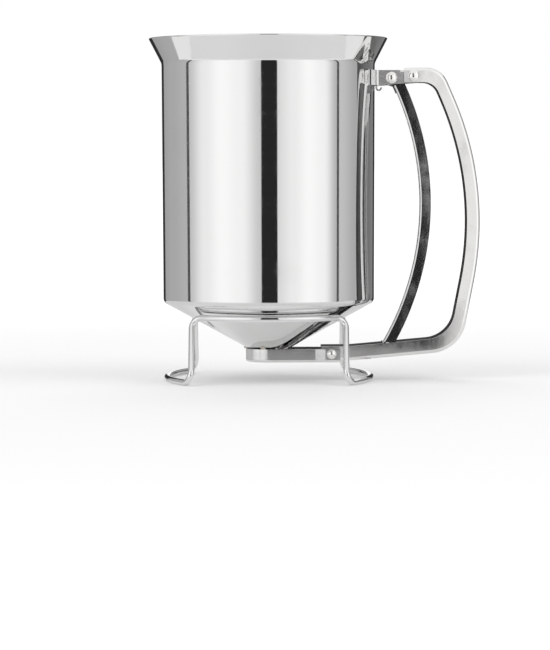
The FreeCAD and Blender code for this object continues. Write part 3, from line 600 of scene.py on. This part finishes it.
class DISPENSER_OT_finish_cup(bpy.types.Operator):
    """Mirror polish the spun cup and its spout"""

    bl_idname = "dispenser.finish_cup"
    bl_label = "Finish cup"

    def execute(self, context):
        steel = context.scene.dispenser_steel
        finish_nodes(turned_mirror("spun_mirror_steel", steel), "cup_body", "spout_tube")
        finish_nodes(plain_weld("spout_weld_metal", steel), "spout_weld")
        return {"FINISHED"}


class DISPENSER_OT_finish_valve(bpy.types.Operator):
    """Finish the valve pan, its tack welds and the sliding gate"""

    bl_idname = "dispenser.finish_valve"
    bl_label = "Finish valve"

    def execute(self, context):
        steel = context.scene.dispenser_steel
        pan = buffed_sheet("pan_steel", steel.mirror_tone, steel.mirror_roughness + 0.05, steel,
                           ALONG_ARM, PAN_RIPPLE)
        gate = buffed_sheet("gate_steel", steel.grip_tone, steel.grip_roughness, steel,
                            ALONG_ARM, GATE_RIPPLE)
        finish_nodes(pan, "valve_pan")
        finish_nodes(gate, "gate_slide")
        finish_nodes(plain_weld("pan_weld_metal", steel), "pan_tack_welds")
        return {"FINISHED"}


class DISPENSER_OT_finish_handle(bpy.types.Operator):
    """Finish the handle's channel and the rivets that hold it"""

    bl_idname = "dispenser.finish_handle"
    bl_label = "Finish handle"

    def execute(self, context):
        steel = context.scene.dispenser_steel
        grip = buffed_sheet("grip_steel", steel.grip_tone, steel.grip_roughness, steel,
                            ALONG_GRIP, GRIP_RIPPLE, channel=GRIP_CHANNEL, toe=steel.grip_toe)
        finish_nodes(grip, "handle_grip")
        finish_nodes(upset_rivet("rivet_steel", steel), "handle_top_rivets", "handle_bottom_rivets")
        return {"FINISHED"}


class DISPENSER_OT_finish_bracket(bpy.types.Operator):
    """Finish the top bracket and the spot welds of its ears"""

    bl_idname = "dispenser.finish_bracket"
    bl_label = "Finish bracket"

    def execute(self, context):
        steel = context.scene.dispenser_steel
        bracket = buffed_sheet("bracket_steel", steel.mirror_tone, steel.bracket_roughness,
                               steel, ALONG_BRACKET, BRACKET_RIPPLE)
        finish_nodes(bracket, "top_bracket")
        finish_nodes(plain_weld("bracket_weld_metal", steel), "bracket_spot_welds")
        return {"FINISHED"}


class DISPENSER_OT_finish_trigger(bpy.types.Operator):
    """Finish the trigger, its pivot and the pin at its foot"""

    bl_idname = "dispenser.finish_trigger"
    bl_label = "Finish trigger"

    def execute(self, context):
        steel = context.scene.dispenser_steel
        lever = buffed_sheet("trigger_steel", steel.mirror_tone, steel.mirror_roughness + 0.03,
                             steel, ALONG_TRIGGER, TRIGGER_RIPPLE, channel=TRIGGER_CHANNEL)
        finish_nodes(lever, "trigger_lever")
        finish_nodes(upset_rivet("pivot_steel", steel), "trigger_pivot_rivet", "pivot_washers",
                     "pivot_sleeve", "link_pin")
        return {"FINISHED"}


def flexing_spring(context, material):
    """Copy of the return spring with its own material, shown in place of the hidden CAD spring."""
    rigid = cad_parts["return_spring"]
    context.view_layer.update()
    spring = bpy.data.objects.new("flexing_spring", rigid.data.copy())
    spring.matrix_world = rigid.matrix_world.copy()
    context.collection.objects.link(spring)
    spring.data.materials.clear()
    spring.data.materials.append(material)
    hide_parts("return_spring")
    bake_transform(spring)


class DISPENSER_OT_finish_spring(bpy.types.Operator):
    """Finish the trigger's return spring"""

    bl_idname = "dispenser.finish_spring"
    bl_label = "Finish spring"

    def execute(self, context):
        steel = context.scene.dispenser_steel
        flexing_spring(context, drawn_wire("spring_wire", steel.spring_tone, SPRING_ROUGHNESS, steel))
        return {"FINISHED"}


class DISPENSER_OT_finish_stand(bpy.types.Operator):
    """Finish the bent wire stand and the weld that closes it"""

    bl_idname = "dispenser.finish_stand"
    bl_label = "Finish stand"

    def execute(self, context):
        steel = context.scene.dispenser_steel
        wire = drawn_wire("stand_wire_chrome", steel.wire_tone, WIRE_ROUGHNESS, steel)
        finish_nodes(wire, "stand_wire")
        finish_nodes(plain_weld("stand_weld_metal", steel), "stand_weld")
        return {"FINISHED"}


def card_material(name, levels):
    """Even or graded light of a card, from its left edge to its right edge."""
    material = bpy.data.materials.new(name)
    material.use_nodes = True
    tree = material.node_tree
    tree.nodes.clear()
    output = tree.nodes.new("ShaderNodeOutputMaterial")
    light = tree.nodes.new("ShaderNodeEmission")
    join(tree, light.outputs["Emission"], output.inputs["Surface"])
    place = tree.nodes.new("ShaderNodeUVMap")
    place.uv_map = "card"
    across_card = tree.nodes.new("ShaderNodeSeparateXYZ")
    join(tree, place.outputs["UV"], across_card.inputs["Vector"])
    brightest = max(levels)
    ramp = tree.nodes.new("ShaderNodeValToRGB")
    ramp.color_ramp.interpolation = "EASE"
    stops = ramp.color_ramp.elements
    while len(stops) < len(levels):
        stops.new(0.5)
    for i, level in enumerate(levels):
        shade = level / brightest
        stops[i].position = i / (len(levels) - 1)
        stops[i].color = (shade, shade, shade, 1.0)
    join(tree, across_card.outputs["X"], ramp.inputs["Fac"])
    join(tree, ramp.outputs["Color"], light.inputs["Color"])
    light.inputs["Strength"].default_value = brightest
    return material


def add_card(context, name, first, last, levels):
    """Curved upright card round the object, from one bearing to another, seen only by mirrors."""
    studio = context.scene.dispenser_studio
    shape = bmesh.new()
    layer = shape.loops.layers.uv.new("card")
    columns = max(2, round(abs(last - first) / 2))
    rails = []
    for i in range(columns + 1):
        bearing = math.radians(first + (last - first) * i / columns)
        x = studio.card_distance * math.sin(bearing)
        y = -studio.card_distance * math.cos(bearing)
        rails.append([shape.verts.new((x, y, -studio.card_drop)),
                      shape.verts.new((x, y, studio.card_height))])
    for i in range(columns):
        face = shape.faces.new((rails[i][0], rails[i + 1][0], rails[i + 1][1], rails[i][1]))
        for loop, across_card in zip(face.loops, (i, i + 1, i + 1, i)):
            loop[layer].uv = (across_card / columns, 0.5)
    mesh = bpy.data.meshes.new(name)
    shape.to_mesh(mesh)
    shape.free()
    card = bpy.data.objects.new(name, mesh)
    context.collection.objects.link(card)
    mesh.materials.append(card_material(name, levels))
    card.visible_camera = False
    card.visible_diffuse = False
    card.visible_shadow = False
    card.visible_transmission = False


def seen_rays(tree):
    """Light path node, and 1 for what the camera sees straight, mirrored or through glass."""
    path = tree.nodes.new("ShaderNodeLightPath")
    seen = math_node(tree, "MAXIMUM", path.outputs["Is Camera Ray"],
                     math_node(tree, "MAXIMUM", path.outputs["Is Glossy Ray"],
                               path.outputs["Is Transmission Ray"]))
    return path, seen


def floor_material(studio):
    """Pale gloss top that keeps the object's shadow and fades into the white background.

    Mirrors see it brighter under the cup, which was set to match and is not real light.
    """
    material = bpy.data.materials.new("pale_floor")
    material.use_nodes = True
    tree = material.node_tree
    tree.nodes.clear()
    output = tree.nodes.new("ShaderNodeOutputMaterial")
    matte = tree.nodes.new("ShaderNodeBsdfDiffuse")
    matte.inputs["Color"].default_value = (studio.floor_tone, studio.floor_tone, studio.floor_tone, 1.0)
    glow = tree.nodes.new("ShaderNodeEmission")
    fade = tree.nodes.new("ShaderNodeMixShader")
    coordinate = tree.nodes.new("ShaderNodeTexCoord")
    length = tree.nodes.new("ShaderNodeVectorMath")
    length.operation = "LENGTH"
    join(tree, coordinate.outputs["Object"], length.inputs[0])
    join(tree, range_node(tree, length.outputs["Value"], FADE_STARTS, FADE_ENDS), fade.inputs["Fac"])
    join(tree, matte.outputs["BSDF"], fade.inputs[1])
    join(tree, glow.outputs["Emission"], fade.inputs[2])
    path, seen = seen_rays(tree)
    join(tree, range_node(tree, seen, 0.0, 1.0, FLOOR_BOUNCE, 1.0), glow.inputs["Strength"])
    lift = tree.nodes.new("ShaderNodeEmission")
    under = range_node(tree, length.outputs["Value"], UNDER_CUP, CLEAR_OF_CUP, UNDER_CUP_LIFT, MIRROR_LIFT)
    mirrored = math_node(tree, "MULTIPLY", path.outputs["Is Glossy Ray"], under)
    direct = math_node(tree, "MULTIPLY", path.outputs["Is Camera Ray"], CAMERA_LIFT)
    join(tree, math_node(tree, "ADD", mirrored, direct), lift.inputs["Strength"])
    total = tree.nodes.new("ShaderNodeAddShader")
    join(tree, fade.outputs["Shader"], total.inputs[0])
    join(tree, lift.outputs["Emission"], total.inputs[1])
    gloss = tree.nodes.new("ShaderNodeBsdfGlossy")
    gloss.inputs["Roughness"].default_value = FLOOR_GLOSS
    edge = tree.nodes.new("ShaderNodeFresnel")
    edge.inputs["IOR"].default_value = FLOOR_IOR
    coat = tree.nodes.new("ShaderNodeMixShader")
    join(tree, math_node(tree, "MULTIPLY", edge.outputs["Fac"], path.outputs["Is Glossy Ray"]),
         coat.inputs["Fac"])
    join(tree, total.outputs["Shader"], coat.inputs[1])
    join(tree, gloss.outputs["BSDF"], coat.inputs[2])
    join(tree, coat.outputs["Shader"], output.inputs["Surface"])
    return material


def add_ring(context, name, inner, outer, material):
    """Flat ring or disc on the floor's level."""
    shape = bmesh.new()
    rails = []
    for i in range(FLOOR_SIDES):
        turn = 2 * math.pi * i / FLOOR_SIDES
        rails.append([shape.verts.new((radius * math.cos(turn), radius * math.sin(turn), 0.0))
                      for radius in (inner, outer) if radius > 0.0])
    if inner > 0.0:
        for i in range(FLOOR_SIDES):
            near, far = rails[i], rails[(i + 1) % FLOOR_SIDES]
            shape.faces.new((near[0], near[1], far[1], far[0]))
    else:
        shape.faces.new([rail[0] for rail in rails])
    mesh = bpy.data.meshes.new(name)
    shape.to_mesh(mesh)
    shape.free()
    ring = bpy.data.objects.new(name, mesh)
    ring.location.z = cad_low.z
    context.collection.objects.link(ring)
    mesh.materials.append(material)
    return ring


def add_floor(context):
    """Table top that the steel mirrors, and the floor round it, which only the camera sees."""
    studio = context.scene.dispenser_studio
    material = floor_material(studio)
    add_ring(context, "table_top", 0.0, studio.table_radius, material)
    around = add_ring(context, "floor_around", studio.table_radius, FLOOR_REACH, material)
    around.visible_glossy = False


def add_world(context):
    """White to the camera and to mirrors, softer for the light that falls on things."""
    studio = context.scene.dispenser_studio
    world = bpy.data.worlds.new("white_studio")
    world.use_nodes = True
    tree = world.node_tree
    tree.nodes.clear()
    output = tree.nodes.new("ShaderNodeOutputWorld")
    sky = tree.nodes.new("ShaderNodeBackground")
    sky.inputs["Color"].default_value = (1.0, 1.0, 1.0, 1.0)
    seen = seen_rays(tree)[1]
    join(tree, range_node(tree, seen, 0.0, 1.0, studio.ambient, 1.0), sky.inputs["Strength"])
    join(tree, sky.outputs["Background"], output.inputs["Surface"])
    context.scene.world = world


def add_lamp(context, name, place, power):
    """Soft square lamp that points at the cup."""
    light = bpy.data.lights.new(name, "AREA")
    light.shape = "SQUARE"
    light.size = LAMP_SIZE
    light.energy = power
    lamp = bpy.data.objects.new(name, light)
    lamp.location = place
    lamp.rotation_euler = (-lamp.location).to_track_quat("-Z", "Y").to_euler()
    lamp.visible_glossy = False
    context.collection.objects.link(lamp)


def add_camera(context):
    """Camera at the photograph's place, far off and a little below the rim."""
    settings = context.scene.dispenser_camera
    lens = bpy.data.cameras.new("camera")
    lens.lens = settings.lens
    lens.sensor_width = SENSOR_WIDTH
    camera = bpy.data.objects.new("camera", lens)
    camera.location = (0.0, -settings.distance, settings.height)
    aim = Euler((math.pi / 2 - settings.pitch, 0.0, -settings.yaw)).to_matrix()
    lean = Euler((0.0, 0.0, settings.roll)).to_matrix()
    camera.rotation_euler = (aim @ lean).to_euler()
    context.collection.objects.link(camera)
    context.scene.camera = camera


class DISPENSER_OT_build_stage(bpy.types.Operator):
    """Set up the floor, the mirrored cards, the lamps, the world and the camera"""

    bl_idname = "dispenser.build_stage"
    bl_label = "Build stage"

    def execute(self, context):
        studio = context.scene.dispenser_studio
        add_floor(context)
        add_world(context)
        for name, first, last, levels in CARDS:
            add_card(context, name, first, last, levels)
        for name, place in LAMPS:
            add_lamp(context, name, place, studio.lamp_power)
        add_camera(context)
        context.scene.view_settings.view_transform = "Standard"
        return {"FINISHED"}


OPERATORS = (
    DISPENSER_OT_finish_cup,
    DISPENSER_OT_finish_valve,
    DISPENSER_OT_finish_handle,
    DISPENSER_OT_finish_bracket,
    DISPENSER_OT_finish_trigger,
    DISPENSER_OT_finish_spring,
    DISPENSER_OT_finish_stand,
    DISPENSER_OT_build_stage,
)


class DISPENSER_PT_panel(bpy.types.Panel):
    """Sizes and colours, and the operators in their order"""

    bl_idname = "DISPENSER_PT_panel"
    bl_label = "Batter dispenser"
    bl_space_type = "VIEW_3D"
    bl_region_type = "UI"
    bl_category = "Dispenser"

    def draw(self, context):
        layout = self.layout
        for settings in (context.scene.dispenser_steel, context.scene.dispenser_studio,
                         context.scene.dispenser_camera):
            column = layout.column(align=True)
            for name in settings.__annotations__:
                column.prop(settings, name)
        for operator in OPERATORS:
            layout.operator(operator.bl_idname)


SETTINGS = (SteelSettings, StudioSettings, CameraSettings)


def register():
    for item in (*SETTINGS, *OPERATORS, DISPENSER_PT_panel):
        bpy.utils.register_class(item)
    bpy.types.Scene.dispenser_steel = PointerProperty(type=SteelSettings)
    bpy.types.Scene.dispenser_studio = PointerProperty(type=StudioSettings)
    bpy.types.Scene.dispenser_camera = PointerProperty(type=CameraSettings)


def unregister():
    del bpy.types.Scene.dispenser_camera
    del bpy.types.Scene.dispenser_studio
    del bpy.types.Scene.dispenser_steel
    for item in reversed((*SETTINGS, *OPERATORS, DISPENSER_PT_panel)):
        bpy.utils.unregister_class(item)


def main():
    register()
    bpy.ops.dispenser.finish_cup()
    bpy.ops.dispenser.finish_valve()
    bpy.ops.dispenser.finish_handle()
    bpy.ops.dispenser.finish_bracket()
    bpy.ops.dispenser.finish_trigger()
    bpy.ops.dispenser.finish_spring()
    bpy.ops.dispenser.finish_stand()
    bpy.ops.dispenser.build_stage()


if __name__ == "__main__":
    main()
